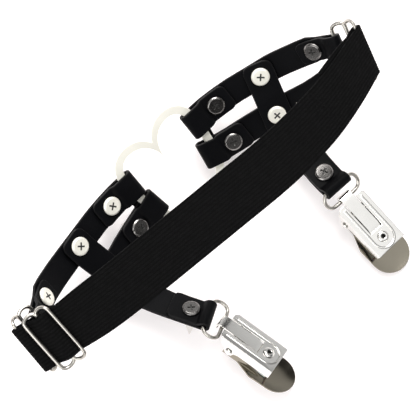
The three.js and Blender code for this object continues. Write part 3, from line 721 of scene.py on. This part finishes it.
# Rings, slides and clips


def stamped(node, name, material, radius, body=BODY):
    """A sheet-metal or moulded piece with its edges rounded."""
    mesh = merged(node)
    whole_faces(mesh)
    round_edges(mesh, radius)
    flat_shaded(piece(mesh, name, material, body=body, node=node))


def wire(node):
    """A bent wire: its six-sided solid made round."""
    swell = 0.17 * MM
    mesh = merged(node)
    quads(mesh)
    mesh.normal_update()
    for vertex, normal in [(vertex, vertex.normal.copy()) for vertex in mesh.verts]:
        vertex.co += normal * swell
    tint = tuple(bpy.context.scene.harness_metal.wire)
    plate = shared("wire_plate", metal_material, "wire_plate", tint, 0.26)
    subdivided(piece(mesh, f"{node}_wire", plate, node=node), 2)


def clip_frame(side):
    """A clip's own frame: X along its pin from the pin's middle, Y to its mouth, Z out of its plate."""
    hinge = next(joint for joint in frame["joints"] if joint["child"] == f"{side}_lever")
    mesh = merged(f"{side}_clip_lever")
    whole_faces(mesh)
    mesh.normal_update()
    up = max(mesh.faces, key=lambda face: face.calc_area()).normal.copy()
    mesh.free()
    up = up if up.z > 0 else -up
    across = -Vector(hinge["axis"])
    turn = Matrix((across, up.cross(across).normalized(), up)).transposed()
    return Matrix.Translation(hinge["pos_m"]) @ turn.to_4x4()


def dished_lever(side, place, material, settings):
    """A clip lever whose round end is pressed into a shallow dish."""
    node = f"{side}_clip_lever"
    mesh = merged(node)
    whole_faces(mesh)
    round_edges(mesh, settings.edge)
    mesh.transform(place.inverted())
    tip = max(vertex.co.y for vertex in mesh.verts)
    radius = max(vertex.co.x for vertex in mesh.verts)
    steps = 14
    for axis, low in ((Vector((0, 1, 0)), tip - 2 * radius), (Vector((1, 0, 0)), -radius)):
        for i in range(1, steps):
            bmesh.ops.bisect_plane(
                mesh, geom=[*mesh.verts, *mesh.edges, *mesh.faces], dist=1e-3 * MM,
                plane_co=axis * (low + 2 * radius * i / steps), plane_no=axis,
            )
    for vertex in mesh.verts:
        past = vertex.co.y - (tip - radius)
        reach = math.hypot(vertex.co.x, max(0.0, past)) / radius
        share = min(1.0, max(0.0, 1 + past / radius))
        vertex.co.z += settings.dish * reach ** 3 * share * share * (3 - 2 * share)
    mesh.transform(place)
    flat_shaded(piece(mesh, f"{node}_plated", material, f"{side}_lever", node))


def turned_eyelet(side, place, settings):
    """A round eyelet whose bore carries painted shade inside."""
    bore, rim, foot = 1 * MM, 7 * MM, 3.8 * MM
    mesh = spun([
        (0, foot), (2.2 * MM, foot), (2.2 * MM, 4.2 * MM), (1.5 * MM, 4.2 * MM), (1.5 * MM, 6.6 * MM),
        (2.6 * MM, 6.6 * MM), (2.55 * MM, 6.85 * MM), (2.3 * MM, 7.1 * MM), (1.9 * MM, 7.25 * MM),
        (1.4 * MM, 7.3 * MM), (1.1 * MM, 7.2 * MM), (bore, rim), (bore, 4.4 * MM), (0, 4.4 * MM),
    ], settings.facets)
    for face in mesh.faces:
        middle = face.calc_center_median()
        # The bore's faces take the second slot, painted shade.
        face.material_index = 1 if middle.xy.length < 1.02 * bore and foot < middle.z < rim else 0
    mesh.transform(place @ Matrix.Translation((0, EYELET_FROM_PIN, 0)))
    node = f"{side}_clip_eyelet"
    made = piece(mesh, f"{node}_plated", nickel(), node=node)
    made.data.materials.append(shared("screw_recess", recess_material, settings))
    flat_shaded(made)


def turned_pin(side, place, settings):
    """A hinge pin with a low domed head at both ends."""
    shank, head, inner, outer = 1 * MM, 1.7 * MM, 8.3 * MM, 8.9 * MM
    half = [
        (shank, inner), (head, inner), (head, 8.5 * MM),
        (1.6 * MM, 8.7 * MM), (1.3 * MM, 8.85 * MM), (0, outer),
    ]
    mesh = spun([(radius, -height) for radius, height in reversed(half)] + half, settings.facets)
    mesh.transform(place @ Matrix.Rotation(math.pi / 2, 4, "Y"))
    node = f"{side}_clip_pin"
    flat_shaded(piece(mesh, f"{node}_plated", nickel(), node=node))


class HARNESS_OT_heart(bpy.types.Operator):
    """Rounds the edges of the heart ring"""

    bl_idname = "harness.heart"
    bl_label = "Heart ring"

    def execute(self, context):
        # The heart ring's cream plate is a painted highlight in place of its bright reflections.
        plate = shared("painted_highlight_plate", highlight_plate_material, context.scene.harness_metal)
        stamped("heart_ring", "heart_ring_plated", plate, 0.35 * MM)
        return {"FINISHED"}


class HARNESS_OT_wires(bpy.types.Operator):
    """Rounds the wire of the slides and of the clips' rings"""

    bl_idname = "harness.wires"
    bl_label = "Slides and rings"

    def execute(self, context):
        for node in ("adjuster_slider", "left_end_slide", "right_end_slide"):
            wire(node)
        for side in SIDES:
            wire(f"{side}_clip_ring")
        return {"FINISHED"}


class HARNESS_OT_clips(bpy.types.Operator):
    """Finishes the plates, tongues, eyelets, pins, levers and pads of the clips"""

    bl_idname = "harness.clips"
    bl_label = "Clips"

    def execute(self, context):
        settings = context.scene.harness_metal
        lever = shared("lever_plate", metal_material, "lever_plate", tuple(settings.lever), 0.14)
        pad = shared("clip_pad_plastic", pad_material, settings)
        for side in SIDES:
            clip = f"{side}_clip"
            stamped(f"{clip}_body", f"{clip}_body_plated", nickel(), settings.bend)
            stamped(f"{clip}_tongue", f"{clip}_tongue_plated", nickel(), settings.edge)
            place = clip_frame(side)
            turned_eyelet(side, place, settings)
            turned_pin(side, place, settings)
            dished_lever(side, place, lever, settings)
            stamped(f"{clip}_pad", f"{clip}_pad_moulded", pad, 0.3 * MM, f"{side}_lever")
        return {"FINISHED"}


# Stage


def area_light(name, place, target, size, energy, tint=(1, 1, 1)):
    light = bpy.data.lights.new(name, "AREA")
    light.shape = "RECTANGLE"
    light.size, light.size_y = size
    light.energy = energy
    light.color = tint
    made = bpy.data.objects.new(name, light)
    made.matrix_world = Matrix.Translation(place) @ (
        Vector(place) - Vector(target)).to_track_quat("Z", "Y").to_matrix().to_4x4()
    bpy.context.scene.collection.objects.link(made)


def studio_world():
    """White above and darker towards the horizon, so that metal has something to mirror."""
    world = bpy.data.worlds.new("studio")
    world.use_nodes = True
    tree = world.node_tree
    place = add(tree, "ShaderNodeTexCoord").outputs["Generated"]
    parts = add(tree, "ShaderNodeSeparateXYZ")
    tree.links.new(place, parts.inputs["Vector"])
    ramp = add(tree, "ShaderNodeValToRGB")
    tones = ramp.color_ramp.elements
    tones[0].position, tones[0].color = 0.0, (0.25, 0.25, 0.25, 1)
    tones[1].position, tones[1].color = 0.9, (1, 1, 1, 1)
    for position, tone in ((0.22, 0.62), (0.34, 0.64), (0.42, 0.03), (0.61, 0.05), (0.72, 0.85)):
        tones.new(position).color = (tone, tone, tone, 1)
    tree.links.new(parts.outputs["Z"], ramp.inputs["Fac"])
    background = tree.nodes["Background"]
    tree.links.new(ramp.outputs["Color"], background.inputs["Color"])
    background.inputs["Strength"].default_value = 1.12
    bpy.context.scene.world = world


def floor():
    """A pale floor with a faint warm tint."""
    mesh = bmesh.new()
    bmesh.ops.create_grid(mesh, x_segments=2, y_segments=2, size=3.0)
    made = as_object(mesh, "floor")
    material, tree, shader = start_material("pale_floor", 0.9)
    place = add(tree, "ShaderNodeTexCoord").outputs["Object"]
    soft = noise(tree, place, 6)
    tree.links.new(blend(tree, soft, (0.8, 0.77, 0.77), (0.82, 0.8, 0.8)), shader.inputs["Base Color"])
    shader.inputs["Emission Color"].default_value = (1, 0.95, 0.95, 1)
    shader.inputs["Emission Strength"].default_value = 0.3
    made.data.materials.append(material)


def camera(settings):
    heading = Vector((math.sin(settings.azimuth), math.cos(settings.azimuth), 0))
    down = Vector((0, 0, -1))
    look = heading * math.cos(settings.elevation) + down * math.sin(settings.elevation)
    right = look.cross(Vector((0, 0, 1))).normalized()
    up = right.cross(look)
    place = Vector(settings.target) - look * settings.distance
    lens = bpy.data.cameras.new("camera")
    lens.lens = settings.lens
    lens.sensor_width = 36
    lens.clip_end = 10
    made = bpy.data.objects.new("camera", lens)
    made.matrix_world = Matrix.Translation(place) @ Matrix((right, up, -look)).transposed().to_4x4()
    bpy.context.scene.collection.objects.link(made)
    bpy.context.scene.camera = made


class HARNESS_OT_stage(bpy.types.Operator):
    """Sets the floor, the lights and the camera"""

    bl_idname = "harness.stage"
    bl_label = "Stage"

    def execute(self, context):
        target = (0, 0, 0.03)
        camera(context.scene.harness_stage)
        floor()
        studio_world()
        area_light("key", (0.45, 0.55, 0.9), target, (0.7, 0.7), 16, (1.0, 0.985, 0.97))
        area_light("fill", (-0.9, -0.3, 0.8), target, (0.9, 0.9), 8)
        context.scene.view_settings.view_transform = "Standard"
        return {"FINISHED"}


class HARNESS_PT_panel(bpy.types.Panel):
    """Lists the settings and the operators"""

    bl_label = "Thigh harness"
    bl_idname = "HARNESS_PT_panel"
    bl_space_type = "VIEW_3D"
    bl_region_type = "UI"
    bl_category = "Harness"

    def draw(self, context):
        scene = context.scene
        for group in (scene.harness_leather, scene.harness_elastic, scene.harness_metal, scene.harness_stage):
            box = self.layout.box()
            for name in group.__annotations__:
                box.prop(group, name)
        for maker in OPERATORS:
            self.layout.operator(maker.bl_idname)


SETTINGS = {
    "harness_leather": LeatherSettings,
    "harness_elastic": ElasticSettings,
    "harness_metal": MetalSettings,
    "harness_stage": StageSettings,
}
OPERATORS = (
    HARNESS_OT_leather, HARNESS_OT_elastic, HARNESS_OT_screws, HARNESS_OT_spikes, HARNESS_OT_heart,
    HARNESS_OT_wires, HARNESS_OT_clips, HARNESS_OT_stage,
)


def register():
    for maker in (*SETTINGS.values(), *OPERATORS, HARNESS_PT_panel):
        bpy.utils.register_class(maker)
    for name, group in SETTINGS.items():
        setattr(bpy.types.Scene, name, PointerProperty(type=group))


def unregister():
    for name in SETTINGS:
        delattr(bpy.types.Scene, name)
    for maker in (HARNESS_PT_panel, *reversed(OPERATORS), *reversed(SETTINGS.values())):
        bpy.utils.unregister_class(maker)


def main():
    register()
    bpy.ops.harness.leather()
    bpy.ops.harness.elastic()
    bpy.ops.harness.screws()
    bpy.ops.harness.spikes()
    bpy.ops.harness.heart()
    bpy.ops.harness.wires()
    bpy.ops.harness.clips()
    bpy.ops.harness.stage()


if __name__ == "__main__":
    main()
